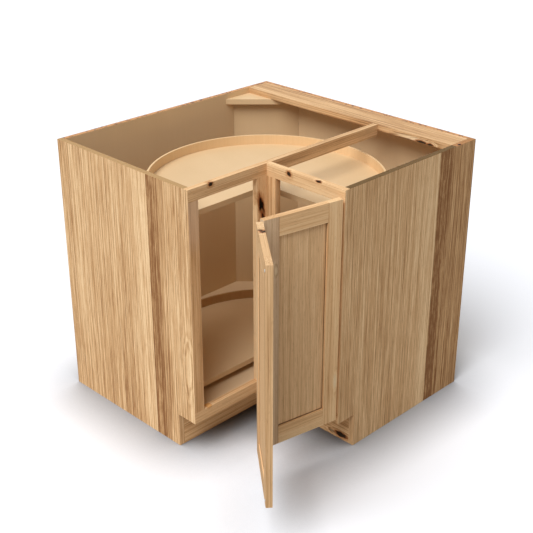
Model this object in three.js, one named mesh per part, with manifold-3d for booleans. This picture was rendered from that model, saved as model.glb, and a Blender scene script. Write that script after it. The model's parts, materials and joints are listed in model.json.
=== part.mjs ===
// Corner carousel cabinet: an L-fronted base cabinet for the corner of a kitchen, with two
// three-quarter-round trays on a centre pole and a two-leaf folding corner door, shown part open.
//
// Everything is drawn in wall coordinates, in millimetres: the right-hand wall is the plane y = 0,
// the left-hand wall is the plane x = 0, and the room is towards +x and -y. One outer group then
// moves the carousel axis at floor level to the origin.

import * as THREE from 'three';
import { mergeVertices } from 'three/addons/utils/BufferGeometryUtils.js';
import Module from 'manifold-3d';

const wasm = await Module();
wasm.setup();

// ---- Driving dimensions -------------------------------------------------------------------

// Carcass
const wallLength = 914.4;          // cabinet length along each wall
const sideDepth = 609.6;           // from the wall to the front of the face frame
const height = 876.3;
const toeHeight = 114.3;
const toeDepth = 76.2;             // toe boards, behind the front of the face frame
const endThickness = 19.05;
const backThickness = 15.9;
const deckThickness = 15.9;
const toeThickness = 15.9;
const frameThickness = 19.05;
const stileWidth = 38.1;
const railHeight = 38.1;
const boardWidth = 88.9;           // flat stretcher along the right-hand wall
const boardThickness = 19.05;
const gussetReach = 217.8;         // along each back panel from their corner
const gussetThickness = 19.05;
const diagonalReach = 179.7;       // along each back panel from their corner
const cleatWidth = 18;
const cleatHeight = 38;
const cornerBlockSize = 60;        // block behind the toe boards, under the carousel

// Carousel
const axisSetback = 82.55;         // carousel axis, behind the back of each face frame
const trayClearance = 17.35;       // tray to end panel
const trayThickness = 18;
const trayLift = 4.6;              // lower tray, above the bottom rails
const upperTrayDrop = 79.2;        // upper tray's surface, below the top rails
const rimThickness = 6.4;
const rimRise = 31;                // above the tray's surface
const notchOffset = 12;            // straight tray edges, from the axis
const bossMargin = 4;              // tray material round the hub's flange
const poleRadius = 9.5;
const poleProud = 12;              // pole above its bracket
const sleeveWall = 5.2;
const sleeveRise = 7;              // hub's sleeve above the tray's surface
const hubFlangeWidth = 19;
const hubFlangeThickness = 4;
const collarWall = 7.2;
const collarHeight = 14;
const bearingFlangeWidth = 27;
const bearingFlangeThickness = 5;
const socketFloorThickness = 2.5;
const capWall = 4.2;
const bracketThickness = 3;
const bracketDrop = 40.2;          // bracket's top, below the top rails
const bracketArm = 20;             // half the bracket's width at the pole
const bracketFlangeLength = 40;
const bracketFlangeHeight = 31;

// Folding door
const leafThickness = 19;
const leafOverlap = 16;            // leaf over the bottom and top rails
const leafReveal = 19.05;          // bare face frame beside the shut door
const leafStileShare = 0.1875;     // stile's width, of the leaf's width
const leafRailHeight = 57;
const panelThickness = 6.4;
const panelRecess = 8;             // panel's front behind the leaf's front
const grooveDepth = 9;
const doorOpening = 79.6;          // degrees that the right-hand leaf stands open
const leafUnfolding = 29.1;        // degrees that the left-hand leaf is turned back from it
const bumperRadius = 4;
const bumperFromEdge = 10;         // bumper's centre, from the left-hand leaf's free edge
const bumperFromEnd = 19;          // bumper's centre, from the leaf's top or bottom

// Hinges and screws
const hingeLength = 64;
const hingeFromEnd = 82;           // hinge's centre, from the leaf's top or bottom
const knuckleRadius = 3;
const knuckleClearance = 0.5;
const pinRadius = 1.3;
const wingThickness = 1.5;
const wingWidth = 17;
const wingClearance = 0.5;         // between the folded wings of a frame hinge
const screwRadius = 1.5;
const screwHeadRadius = 2.9;
const screwHeadDepth = 1.4;
const screwLength = 13;
const screwSpacing = 40;
const pilotSpare = 3;              // pilot hole beyond the screw's tip

const gap = 0.3;                   // running and assembly clearance
const overrun = 1;                 // how far a cutter passes the face that it cuts

// ---- Derived places ------------------------------------------------------------------------

const frameBack = sideDepth - frameThickness;
const endInner = wallLength - endThickness;
const deckTop = toeHeight + deckThickness;
const openingBottom = toeHeight + railHeight;
const openingTop = height - railHeight;
const toeFace = sideDepth - toeDepth;
const toeBack = toeFace - toeThickness;
const boardFront = backThickness + boardWidth;
const boardUnder = height - boardThickness;
const gussetUnder = boardUnder - gussetThickness;

const axisFromWall = frameBack - axisSetback;
const carouselAxis = [axisFromWall, -axisFromWall];
const trayRadius = endInner - trayClearance - axisFromWall;
const lowerTrayTop = openingBottom + trayLift + trayThickness;
const upperTrayTop = openingTop - upperTrayDrop;
const boreRadius = poleRadius + gap;
const sleeveRadius = boreRadius + sleeveWall;
const hubFlangeRadius = sleeveRadius + hubFlangeWidth;
const bossRadius = hubFlangeRadius + bossMargin;
const collarRadius = boreRadius + collarWall;
const bracketTop = openingTop - bracketDrop;
const bracketFace = frameBack - gap;
const bracketBack = bracketFace - bracketThickness;
const poleTop = bracketTop + poleProud;

const leafStandOff = wingThickness + wingClearance;
const leafBack = sideDepth + leafStandOff;
const leafFace = leafBack + leafThickness;
const leafBottom = openingBottom - leafOverlap;
const leafTop = openingTop + leafOverlap;
const leafEdge = wallLength - leafReveal;
const hingeGap = knuckleRadius + knuckleClearance;
const leafEnd = leafFace + hingeGap;
const frameHinge = [leafEdge + hingeGap, -sideDepth - hingeGap];
const cornerHinge = [leafFace, -leafFace];
const hingeHeights = { lower: leafBottom + hingeFromEnd, upper: leafTop - hingeFromEnd };

// ---- Materials -----------------------------------------------------------------------------

function material(color, roughness, metalness = 0) {
  return new THREE.MeshStandardMaterial({ color, roughness, metalness });
}

const hickory = material(0xd2ab7c, 0.6);
const hickoryVeneer = material(0xc9a06e, 0.6);
const maple = material(0xdfc196, 0.55);
const bentMaple = material(0xe4bb89, 0.5);
const pine = material(0xcfae82, 0.7);
const steel = material(0xb8babd, 0.35, 0.9);
const nylon = material(0xe6e3dc, 0.5);
const rubber = material(0xcfd2d2, 0.6);

// ---- Geometry helpers ----------------------------------------------------------------------

function toSolid(geometry) {
  const bare = geometry.clone();
  bare.deleteAttribute('normal');
  bare.deleteAttribute('uv');
  const merged = mergeVertices(bare, 1e-4);
  return new wasm.Manifold(new wasm.Mesh({
    numProp: 3,
    vertProperties: new Float32Array(merged.attributes.position.array),
    triVerts: new Uint32Array(merged.index.array),
  }));
}

function toGeometry(solid) {
  const { vertProperties, triVerts } = solid.getMesh();
  const geometry = new THREE.BufferGeometry();
  geometry.setAttribute('position', new THREE.BufferAttribute(new Float32Array(vertProperties), 3));
  geometry.setIndex(new THREE.BufferAttribute(new Uint32Array(triVerts), 1));
  geometry.computeVertexNormals();
  return geometry;
}

function join(...geometries) {
  return toGeometry(geometries.map(toSolid).reduce((whole, piece) => whole.add(piece)));
}

function cut(geometry, ...cutters) {
  return toGeometry(cutters.map(toSolid).reduce((rest, cutter) => rest.subtract(cutter), toSolid(geometry)));
}

// Box between two ranges along each of x, y and z.
function box([x0, x1], [y0, y1], [z0, z1]) {
  const geometry = new THREE.BoxGeometry(Math.abs(x1 - x0), Math.abs(y1 - y0), Math.abs(z1 - z0));
  geometry.translate((x0 + x1) / 2, (y0 + y1) / 2, (z0 + z1) / 2);
  return geometry;
}

// Upright cylinder about a plan point, between two heights.
function post([x, y], radius, [z0, z1], sides = 24) {
  const geometry = new THREE.CylinderGeometry(radius, radius, z1 - z0, sides);
  geometry.rotateX(Math.PI / 2);
  geometry.translate(x, y, (z0 + z1) / 2);
  return geometry;
}

// Lying cylinder or cone that starts at a point and runs along a plan direction.
function rod([x, y, z], [dx, dy], length, radius, endRadius = radius, sides = 12) {
  const geometry = new THREE.CylinderGeometry(radius, endRadius, length, sides);
  geometry.rotateZ(Math.PI / 2);
  geometry.rotateZ(Math.atan2(dy, dx));
  geometry.translate(x + dx * length / 2, y + dy * length / 2, z);
  return geometry;
}

// Flat piece: a plan outline, as points or as a shape, between two heights.
function slab(outline, [z0, z1], curveSegments = 32) {
  const shape = Array.isArray(outline)
    ? new THREE.Shape(outline.map(([x, y]) => new THREE.Vector2(x, y)))
    : outline;
  const geometry = new THREE.ExtrudeGeometry(shape, { depth: z1 - z0, bevelEnabled: false, curveSegments });
  geometry.translate(0, 0, z0);
  return geometry;
}

function mesh(name, geometry, finish) {
  const piece = new THREE.Mesh(geometry, finish);
  piece.name = name;
  return piece;
}

// Holds pieces drawn in wall coordinates, turned about an upright line.
function turned([x, y], degrees, ...pieces) {
  const pivot = new THREE.Group();
  const shifted = new THREE.Group();
  pivot.position.set(x, y, 0);
  pivot.rotation.z = THREE.MathUtils.degToRad(degrees);
  shifted.position.set(-x, -y, 0);
  shifted.add(...pieces);
  pivot.add(shifted);
  return pivot;
}

// ---- Countersunk screws --------------------------------------------------------------------

// A screw's place is the middle of its head's outer face, and the plan direction it is driven in.
function screw({ at: [x, y, z], into: [dx, dy] }) {
  const shank = [x + dx * screwHeadDepth / 2, y + dy * screwHeadDepth / 2, z];
  return join(
    rod([x, y, z], [dx, dy], screwHeadDepth, screwHeadRadius, screwRadius),
    rod(shank, [dx, dy], screwLength - screwHeadDepth / 2, screwRadius),
  );
}

function countersunkHole({ at: [x, y, z], into: [dx, dy] }) {
  return join(
    rod([x - dx * overrun, y - dy * overrun, z], [dx, dy], overrun, screwHeadRadius + gap),
    rod([x, y, z], [dx, dy], screwHeadDepth, screwHeadRadius + gap, screwRadius + gap),
    rod([x, y, z], [dx, dy], bracketThickness + overrun, screwRadius + gap),
  );
}

function pilotHole({ at: place, into }) {
  return rod(place, into, screwLength + pilotSpare, screwRadius + gap);
}

// ---- Carcass -------------------------------------------------------------------------------

function endPanels() {
  const across = [endInner - overrun, wallLength + overrun];
  const notch = [-overrun, toeHeight];
  const left = cut(
    box([0, frameBack], [-wallLength, -endInner], [0, height]),
    box([toeFace, frameBack + overrun], across.map((value) => -value), notch),
  );
  const right = cut(
    box([endInner, wallLength], [-frameBack, 0], [0, height]),
    box(across, [-frameBack - overrun, -toeFace], notch),
  );
  return [
    mesh('left_end_panel', left, hickoryVeneer),
    mesh('right_end_panel', right, hickoryVeneer),
  ];
}

function backPanels() {
  const left = box([0, backThickness], [-endInner, 0], [0, height]);
  const right = box([backThickness, endInner], [-backThickness, 0], [0, height]);
  const near = backThickness + gap;
  const front = backThickness + diagonalReach;
  const rear = front - backThickness * Math.SQRT2;
  const diagonal = slab(
    [[near, near - front], [front - near, -near], [rear - near, -near], [near, near - rear]],
    [deckTop, gussetUnder],
  );
  return [
    mesh('left_back_panel', left, maple),
    mesh('right_back_panel', right, maple),
    mesh('diagonal_back_panel', diagonal, maple),
  ];
}

function deck() {
  const outline = [
    [backThickness, -backThickness],
    [backThickness, -endInner],
    [frameBack, -endInner],
    [frameBack, -frameBack],
    [endInner, -frameBack],
    [endInner, -backThickness],
  ];
  return mesh('deck_panel', slab(outline, [toeHeight, deckTop]), maple);
}

function deckSupports() {
  const cleatZ = [toeHeight - cleatHeight, toeHeight];
  const cleatFront = backThickness + cleatWidth;
  const blockRear = toeBack - cornerBlockSize;
  return [
    mesh('left_deck_cleat', box([backThickness, cleatFront], [-endInner, -backThickness], cleatZ), pine),
    mesh('right_deck_cleat', box([cleatFront, endInner], [-cleatFront, -backThickness], cleatZ), pine),
    mesh('toe_corner_block', box([blockRear, toeBack], [-toeBack, -blockRear], [0, toeHeight]), pine),
  ];
}

function toeBoards() {
  const z = [0, toeHeight];
  return [
    mesh('left_toe_board', box([toeBack, toeFace], [-endInner, -toeBack], z), hickory),
    mesh('right_toe_board', box([toeFace, endInner], [-toeFace, -toeBack], z), hickory),
  ];
}

// The rails run the full length of each face, with the stiles between them. The right-hand face
// butts against the left-hand one at the inner corner.
function faceFrame() {
  const depth = [frameBack, sideDepth];
  const depthRight = [-sideDepth, -frameBack];
  const low = [toeHeight, openingBottom];
  const high = [openingTop, height];
  const between = [openingBottom, openingTop];
  const inner = sideDepth + stileWidth;
  const outer = wallLength - stileWidth;
  const [leftPilot, rightPilot] = bracketScrews().map(pilotHole);
  const hingePilots = frameHingeScrews().map(pilotHole);
  return [
    mesh('left_top_rail', box(depth, [-wallLength, -frameBack], high), hickory),
    mesh('right_top_rail', box([sideDepth, wallLength], depthRight, high), hickory),
    mesh('left_bottom_rail', box(depth, [-wallLength, -frameBack], low), hickory),
    mesh('right_bottom_rail', box([sideDepth, wallLength], depthRight, low), hickory),
    mesh('left_outer_stile', box(depth, [-wallLength, -outer], between), hickory),
    mesh('left_inner_stile', cut(box(depth, [-inner, -frameBack], between), leftPilot), hickory),
    mesh('right_inner_stile', cut(box([sideDepth, inner], depthRight, between), rightPilot), hickory),
    mesh('right_outer_stile', cut(box([outer, wallLength], depthRight, between), ...hingePilots), hickory),
  ];
}

function topMembers() {
  const beam = box([frameBack, sideDepth], [-frameBack, -boardFront], [openingTop, height]);
  const board = box([backThickness, endInner], [-boardFront, -backThickness], [boardUnder, height]);
  const near = backThickness;
  const far = backThickness + gussetReach;
  const gusset = slab([[near, -near], [near, near - far], [far - near, -near]], [gussetUnder, boardUnder]);
  return [
    mesh('cross_beam', beam, hickory),
    mesh('rear_top_board', board, hickory),
    mesh('corner_gusset', gusset, maple),
  ];
}

// ---- Pole, bearing and bracket ---------------------------------------------------------------

// Lower end of a hub that carries a tray with its surface at a height.
function hubUnder(trayTop) {
  return trayTop - trayThickness - gap - hubFlangeThickness;
}

function poleParts() {
  const socketFloor = deckTop + socketFloorThickness;
  const bearingTop = hubUnder(lowerTrayTop) - gap;
  const collarTop = hubUnder(upperTrayTop) - gap;
  const bearing = cut(
    join(
      post(carouselAxis, collarRadius + bearingFlangeWidth, [deckTop, deckTop + bearingFlangeThickness], 40),
      post(carouselAxis, collarRadius, [deckTop, bearingTop], 32),
    ),
    post(carouselAxis, boreRadius, [socketFloor, bearingTop + overrun]),
  );
  const collar = cut(
    post(carouselAxis, collarRadius, [collarTop - collarHeight, collarTop], 32),
    post(carouselAxis, boreRadius, [collarTop - collarHeight - overrun, collarTop + overrun]),
  );
  const cap = cut(
    post(carouselAxis, boreRadius + capWall, [bracketTop + gap, poleTop + gap + capWall], 32),
    post(carouselAxis, boreRadius, [bracketTop, poleTop + gap]),
  );
  return [
    mesh('carousel_pole', post(carouselAxis, poleRadius, [socketFloor + gap, poleTop]), steel),
    mesh('floor_bearing', bearing, nylon),
    mesh('upper_pole_collar', collar, steel),
    mesh('pole_top_cap', cap, nylon),
  ];
}

function bracketScrews() {
  const z = bracketTop - bracketFlangeHeight / 2;
  const middle = sideDepth + stileWidth / 2;
  return [
    { at: [bracketBack, -middle, z], into: [1, 0] },
    { at: [middle, -bracketBack, z], into: [0, -1] },
  ];
}

// A plate from the pole to the inner corner, with a flange down the back of each inner stile.
function poleBracket() {
  const [x, y] = carouselAxis;
  const half = bracketArm / Math.SQRT2;
  const reach = frameBack + bracketFlangeLength;
  const z = [bracketTop - bracketFlangeHeight, bracketTop];
  const plate = slab([
    [x - half, y + half],
    [x - half, y - half],
    [bracketBack, -reach],
    [bracketFace, -reach],
    [bracketFace, -bracketFace],
    [reach, -bracketFace],
    [reach, -bracketBack],
    [x + half, y + half],
  ], [bracketTop - bracketThickness, bracketTop]);
  const body = join(
    plate,
    box([bracketBack, bracketFace], [-reach, -bracketBack], z),
    box([bracketBack, reach], [-bracketFace, -bracketBack], z),
  );
  const bore = post(carouselAxis, boreRadius, [bracketTop - bracketThickness - overrun, bracketTop + overrun]);
  return mesh('pole_bracket', cut(body, bore, ...bracketScrews().map(countersunkHole)), steel);
}

function bracketFixings() {
  const [left, right] = bracketScrews().map(screw);
  return [mesh('left_bracket_screw', left, steel), mesh('right_bracket_screw', right, steel)];
}

// ---- Trays -----------------------------------------------------------------------------------

// Three quarters of a disc: the missing quarter faces the inner corner.
function trayOutline() {
  const radius = trayRadius - rimThickness - gap;
  const end = Math.asin(notchOffset / radius);
  const outline = new THREE.Shape();
  outline.absarc(0, 0, radius, -end, 1.5 * Math.PI + end, false);
  outline.lineTo(notchOffset, -notchOffset);
  return outline;
}

function rimOutline() {
  const inside = trayRadius - rimThickness;
  const outerEnd = Math.asin(notchOffset / trayRadius);
  const innerEnd = Math.asin(notchOffset / inside);
  const outline = new THREE.Shape();
  outline.absarc(0, 0, trayRadius, -outerEnd, 1.5 * Math.PI + outerEnd, false);
  outline.absarc(0, 0, inside, 1.5 * Math.PI + innerEnd, -innerEnd, true);
  return outline;
}

function tray(level, top) {
  const centre = [0, 0];
  const under = top - trayThickness;
  const flangeZ = [hubUnder(top), under - gap];
  const sleeveZ = [hubUnder(top), top + sleeveRise];
  const base = cut(
    join(slab(trayOutline(), [under, top]), post(centre, bossRadius, [under, top], 40)),
    post(centre, sleeveRadius + gap, [under - overrun, top + overrun], 32),
  );
  const hub = cut(
    join(post(centre, hubFlangeRadius, flangeZ, 36), post(centre, sleeveRadius, sleeveZ, 32)),
    post(centre, boreRadius, [sleeveZ[0] - overrun, sleeveZ[1] + overrun]),
  );
  const group = new THREE.Group();
  group.position.set(...carouselAxis, 0);
  group.add(
    mesh(`${level}_tray_base`, base, maple),
    mesh(`${level}_tray_rim`, slab(rimOutline(), [under, top + rimRise]), bentMaple),
    mesh(`${level}_tray_hub`, hub, nylon),
  );
  return group;
}

// ---- Hinges ----------------------------------------------------------------------------------

// Every hinge's barrel has three knuckles: the outer two and the pin belong to one wing, and the
// middle one to the other. The plate and the link to the knuckles are given by their x and y ranges.
function wing(centre, pivot, isMiddle, plate, link, holes) {
  const half = hingeLength / 2;
  const third = hingeLength / 3;
  const knuckles = isMiddle
    ? [[centre - third / 2 + gap, centre + third / 2 - gap]]
    : [[centre - half, centre - third / 2], [centre + third / 2, centre + half]];
  const full = [centre - half, centre + half];
  const body = join(
    box(...plate, full),
    ...knuckles.map((z) => box(...link, z)),
    ...knuckles.map((z) => post(pivot, knuckleRadius, z, 20)),
  );
  const finished = isMiddle
    ? cut(body, post(pivot, pinRadius + gap, full, 12))
    : join(body, post(pivot, pinRadius, full, 12));
  return cut(finished, ...holes.map(countersunkHole));
}

// The two screws of one wing stand one above the other.
function screwPair(centre, [x, y], into) {
  return [-1, 1].map((side) => ({ at: [x, y, centre + side * screwSpacing / 2], into }));
}

// Frame wings lie on the right-hand outer stile, behind the shut leaf.
const frameWingX = [leafEdge - wingWidth, leafEdge - gap];
const frameWingY = [-sideDepth - wingThickness, -sideDepth];

function frameWingScrews(centre) {
  return screwPair(centre, [leafEdge - wingWidth / 2, frameWingY[0]], [0, 1]);
}

function frameHingeScrews() {
  return Object.values(hingeHeights).flatMap(frameWingScrews);
}

// Door wings are let into the back of the right-hand leaf.
const doorWingX = [leafEdge - wingWidth, leafEdge];
const doorWingY = [-leafBack - wingThickness, -leafBack];

function doorWingScrews(centre) {
  return screwPair(centre, [leafEdge - wingWidth / 2, doorWingY[1]], [0, -1]);
}

function doorWingMortise(centre) {
  const half = hingeLength / 2 + gap;
  return box(
    [doorWingX[0] - gap, doorWingX[1] + overrun],
    [doorWingY[0] - gap, doorWingY[1] + overrun],
    [centre - half, centre + half],
  );
}

// Corner wings lie on the end faces of the two leaves, across the door's inner corner.
const cornerWingAcross = [leafEnd - gap - wingThickness, leafEnd - gap];
const cornerWingAlong = [leafFace - wingWidth, leafFace - knuckleRadius - gap];
const cornerLinkAlong = [cornerWingAlong[1] - overrun, leafFace];
const cornerScrewAlong = (cornerWingAlong[0] + cornerWingAlong[1]) / 2;

// Ranges across and along a wing, as x and y ranges on the right-hand or left-hand leaf's end.
function onLeafEnd(side, across, along) {
  const away = (range) => range.map((value) => -value);
  return side === 'right' ? [across, away(along)] : [along, away(across)];
}

function cornerWingScrews(side, centre) {
  const near = cornerWingAcross[0];
  return side === 'right'
    ? screwPair(centre, [near, -cornerScrewAlong], [1, 0])
    : screwPair(centre, [cornerScrewAlong, -near], [0, -1]);
}

function frameWings() {
  const link = [[frameWingX[1] - overrun, frameHinge[0]], frameWingY];
  return Object.entries(hingeHeights).map(([level, centre]) => {
    const solid = wing(centre, frameHinge, false, [frameWingX, frameWingY], link, frameWingScrews(centre));
    return mesh(`frame_hinge_${level}_frame_wing`, solid, steel);
  });
}

function frameWingFixings() {
  return Object.entries(hingeHeights).flatMap(([level, centre]) => {
    const [low, high] = frameWingScrews(centre).map(screw);
    return [
      mesh(`frame_hinge_${level}_bottom_screw`, low, steel),
      mesh(`frame_hinge_${level}_top_screw`, high, steel),
    ];
  });
}

function doorWings() {
  const link = [[doorWingX[1] - overrun, frameHinge[0]], doorWingY];
  return Object.entries(hingeHeights).map(([level, centre]) => {
    const solid = wing(centre, frameHinge, true, [doorWingX, doorWingY], link, doorWingScrews(centre));
    return mesh(`frame_hinge_${level}_door_wing`, solid, steel);
  });
}

function cornerWings(side) {
  const plate = onLeafEnd(side, cornerWingAcross, cornerWingAlong);
  const link = onLeafEnd(side, cornerWingAcross, cornerLinkAlong);
  return Object.entries(hingeHeights).map(([level, centre]) => {
    const holes = cornerWingScrews(side, centre);
    const solid = wing(centre, cornerHinge, side === 'left', plate, link, holes);
    return mesh(`corner_hinge_${level}_${side}_wing`, solid, steel);
  });
}

// ---- Folding door ----------------------------------------------------------------------------

// A leaf is drawn shut. Along is measured from its outer edge towards the inner corner, and out from
// its back towards the room.
const placeOnLeaf = {
  right: ([a0, a1], [o0, o1], z) => box([leafEdge - a1, leafEdge - a0], [-leafBack - o1, -leafBack - o0], z),
  left: ([a0, a1], [o0, o1], z) => box([leafBack + o0, leafBack + o1], [a0 - leafEdge, a1 - leafEdge], z),
};

function leafWood(side, mortises) {
  const place = placeOnLeaf[side];
  const length = leafEdge - leafEnd;
  const out = [0, leafThickness];
  const z = [leafBottom, leafTop];
  const along = [leafStileShare * length, (1 - leafStileShare) * length];
  const railZ = [leafBottom + leafRailHeight, leafTop - leafRailHeight];
  const panelFront = leafThickness - panelRecess;
  const tongue = grooveDepth - gap;
  const grow = ([low, high], amount) => [low - amount, high + amount];
  const panelOut = [panelFront - panelThickness, panelFront];
  const panel = place(grow(along, tongue), panelOut, grow(railZ, tongue));
  const groove = place(grow(along, grooveDepth), grow(panelOut, gap), grow(railZ, grooveDepth));
  const outerStile = cut(place([0, along[0]], out, z), groove, ...mortises);
  const meetingStile = cut(place([along[1], length], out, z), groove);
  const rail = (range) => cut(place(grow(along, -gap), out, range), groove);
  return [
    mesh(`${side}_leaf_outer_stile`, outerStile, hickory),
    mesh(`${side}_leaf_meeting_stile`, meetingStile, hickory),
    mesh(`${side}_leaf_bottom_rail`, rail([leafBottom, railZ[0]]), hickory),
    mesh(`${side}_leaf_top_rail`, rail([railZ[1], leafTop]), hickory),
    mesh(`${side}_leaf_panel`, panel, hickory),
  ];
}

function bumpers() {
  const y = bumperFromEdge - leafEdge;
  const start = sideDepth + gap;
  const heights = { lower: leafBottom + bumperFromEnd, upper: leafTop - bumperFromEnd };
  return Object.entries(heights).map(([level, z]) => {
    const solid = rod([start, y, z], [1, 0], leafStandOff - 2 * gap, bumperRadius, bumperRadius, 20);
    return mesh(`door_bumper_${level}`, solid, rubber);
  });
}

function foldingDoor() {
  const leftLeaf = [...leafWood('left', []), ...cornerWings('left'), ...bumpers()];
  const mortises = Object.values(hingeHeights).map(doorWingMortise);
  const rightLeaf = [...leafWood('right', mortises), ...doorWings(), ...cornerWings('right')];
  return turned(frameHinge, doorOpening, ...rightLeaf, turned(cornerHinge, -leafUnfolding, ...leftLeaf));
}

// ---- Assembly --------------------------------------------------------------------------------

const cabinet = new THREE.Group();
cabinet.position.set(-axisFromWall, axisFromWall, 0);
cabinet.add(
  ...endPanels(),
  ...backPanels(),
  deck(),
  ...deckSupports(),
  ...toeBoards(),
  ...faceFrame(),
  ...topMembers(),
  ...poleParts(),
  poleBracket(),
  ...bracketFixings(),
  tray('lower', lowerTrayTop),
  tray('upper', upperTrayTop),
  ...frameWings(),
  ...frameWingFixings(),
  foldingDoor(),
);

export default cabinet;
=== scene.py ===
"""Looks of the corner carousel cabinet: knotty hickory face frame, end panels and folding door,
maple-laminate inside, two rimmed trays on a steel pole, and zinc-plated hinges and screws.

Lengths are metres and colours are display values from 0 to 255. The origin is the carousel's axis
at floor level. The cabinet's left-hand face looks towards +x and its right-hand one towards -y.
"""

import json
import math

import bpy
from mathutils import Matrix, Vector


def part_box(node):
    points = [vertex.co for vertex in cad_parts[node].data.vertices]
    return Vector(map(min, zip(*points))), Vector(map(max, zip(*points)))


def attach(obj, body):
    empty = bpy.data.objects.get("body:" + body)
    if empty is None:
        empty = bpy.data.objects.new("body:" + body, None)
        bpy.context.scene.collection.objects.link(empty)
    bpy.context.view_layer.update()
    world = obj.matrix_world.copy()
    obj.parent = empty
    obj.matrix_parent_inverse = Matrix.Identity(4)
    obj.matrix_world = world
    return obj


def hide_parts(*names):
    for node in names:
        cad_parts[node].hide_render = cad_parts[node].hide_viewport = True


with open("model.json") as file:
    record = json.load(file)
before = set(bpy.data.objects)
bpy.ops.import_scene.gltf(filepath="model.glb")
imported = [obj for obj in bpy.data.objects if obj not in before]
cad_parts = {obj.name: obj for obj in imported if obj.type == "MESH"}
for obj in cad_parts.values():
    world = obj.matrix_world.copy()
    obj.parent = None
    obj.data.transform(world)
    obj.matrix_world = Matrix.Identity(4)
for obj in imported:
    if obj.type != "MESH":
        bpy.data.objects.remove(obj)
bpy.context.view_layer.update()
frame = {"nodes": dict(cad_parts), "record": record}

# ---- Sizes and places ------------------------------------------------------------------------

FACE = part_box("left_top_rail")[1].x            # front of either face frame, from the axis
CARCASS_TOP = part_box("left_top_rail")[1].z
END_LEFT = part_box("left_end_panel")[0].y       # outer faces of the two end panels
END_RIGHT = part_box("right_end_panel")[1].x
END_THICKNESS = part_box("left_end_panel")[1].y - END_LEFT

DOOR_OPENING = math.radians(79.6)              # right-hand leaf, from shut
LEAF_FOLD = math.radians(29.1)                 # left-hand leaf, back from the other
LEFT_LEAF_TURN = DOOR_OPENING - LEAF_FOLD
FRAME_HINGE = Vector((0.39085, -0.1051))       # plan places of the two hinge lines
CORNER_HINGE = Vector((0.359638, -0.372102))

MERGE = 1e-5                                   # vertices closer than this are one
LONG_EDGE = 0.012                              # only a board's edges longer than this are eased
BOARD_EASE = 0.0006
METAL_EASE = 0.00025
SHARP_DEGREES = 30                             # edges sharper than this are eased
SMOOTH_DEGREES = 35                            # faces that meet at less than this look like one
FLAT_DEGREES = 0.5                             # and those at less than this become one
SKIN = 0.0003                                  # a face's own finish reaches this deep

# ---- Nodes -----------------------------------------------------------------------------------

AXES = "xyz"


def shade(red, green, blue):
    """Display colour, 0 to 255, as the linear colour that nodes hold."""
    def linear(value):
        value /= 255
        return value / 12.92 if value <= 0.04045 else ((value + 0.055) / 1.055) ** 2.4
    return (linear(red), linear(green), linear(blue), 1)


def put(tree, kind, inputs=(), **settings):
    """Adds a node; an input is a value or another node's output."""
    node = tree.nodes.new(kind)
    for name, value in settings.items():
        setattr(node, name, value)
    for key, value in dict(inputs).items():
        if isinstance(value, bpy.types.NodeSocket):
            tree.links.new(value, node.inputs[key])
        else:
            node.inputs[key].default_value = value
    return node


def calc(tree, operation, *values):
    return put(tree, "ShaderNodeMath", dict(enumerate(values)), operation=operation).outputs[0]


def ease_between(tree, value, low, high, start=0, end=1):
    """Start up to low, end from high on, and a smooth run between them."""
    inputs = {"Value": value, "From Min": low, "From Max": high, "To Min": start, "To Max": end}
    return put(tree, "ShaderNodeMapRange", inputs, interpolation_type="SMOOTHSTEP").outputs[0]


def centred(tree, value, amount, onto):
    """Adds a pattern that averages a half, times an amount, onto another value."""
    return calc(tree, "MULTIPLY_ADD", calc(tree, "SUBTRACT", value, 0.5), amount, onto)


def mixed(tree, share, first, second):
    """Between two numbers."""
    return put(tree, "ShaderNodeMix", {0: share, 2: first, 3: second}).outputs[0]


def blend(tree, share, first, second):
    """Between two colours."""
    return put(tree, "ShaderNodeMix", {0: share, 6: first, 7: second}, data_type="RGBA").outputs[2]


def ramp(tree, value, stops):
    """Stops are (place, colour) pairs with rising places."""
    node = put(tree, "ShaderNodeValToRGB", {0: value})
    elements = node.color_ramp.elements
    while len(elements) < len(stops):
        elements.new(0.5)
    for element, (place, colour) in zip(elements, stops):
        element.position = place
        element.color = shade(*colour)
    return node.outputs[0]


def noise(tree, place, scale, seed=0, detail=2, roughness=0.5):
    inputs = {"Vector": place, "W": seed, "Scale": scale, "Detail": detail, "Roughness": roughness}
    return put(tree, "ShaderNodeTexNoise", inputs, noise_dimensions="4D").outputs[0]


def placed(tree, place, at=(0, 0, 0), turn=(0, 0, 0), size=(1, 1, 1)):
    """Coordinates measured from a point, along turned axes, in units of a size."""
    inputs = {"Vector": place, "Location": at, "Rotation": turn, "Scale": size}
    return put(tree, "ShaderNodeMapping", inputs, vector_type="TEXTURE").outputs[0]


def stretched(tree, place, factors):
    """Coordinates times a factor on each axis; a low one draws a pattern out along that axis."""
    return put(tree, "ShaderNodeMapping", {"Vector": place, "Scale": factors}).outputs[0]


def drawn_out(tree, place, kind, seed=0):
    """Noise of a kind: its factors on each axis, scale, detail and roughness."""
    factors, scale, detail, roughness = kind
    return noise(tree, stretched(tree, place, factors), scale, seed, detail, roughness)


def new_material(name):
    material = bpy.data.materials.new(name)
    material.use_nodes = True
    tree = material.node_tree
    tree.nodes.clear()
    surface = put(tree, "ShaderNodeBsdfPrincipled")
    put(tree, "ShaderNodeOutputMaterial", {"Surface": surface.outputs[0]})
    return material, tree, surface


def object_place(tree):
    return put(tree, "ShaderNodeTexCoord").outputs["Object"]


def part_of(tree, place, axis):
    return put(tree, "ShaderNodeSeparateXYZ", {0: place}).outputs[AXES.index(axis)]


def beyond(tree, place, axis, limit, over=True):
    """1 where a coordinate is over, or under, a limit."""
    return calc(tree, "GREATER_THAN" if over else "LESS_THAN", part_of(tree, place, axis), limit)


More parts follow.
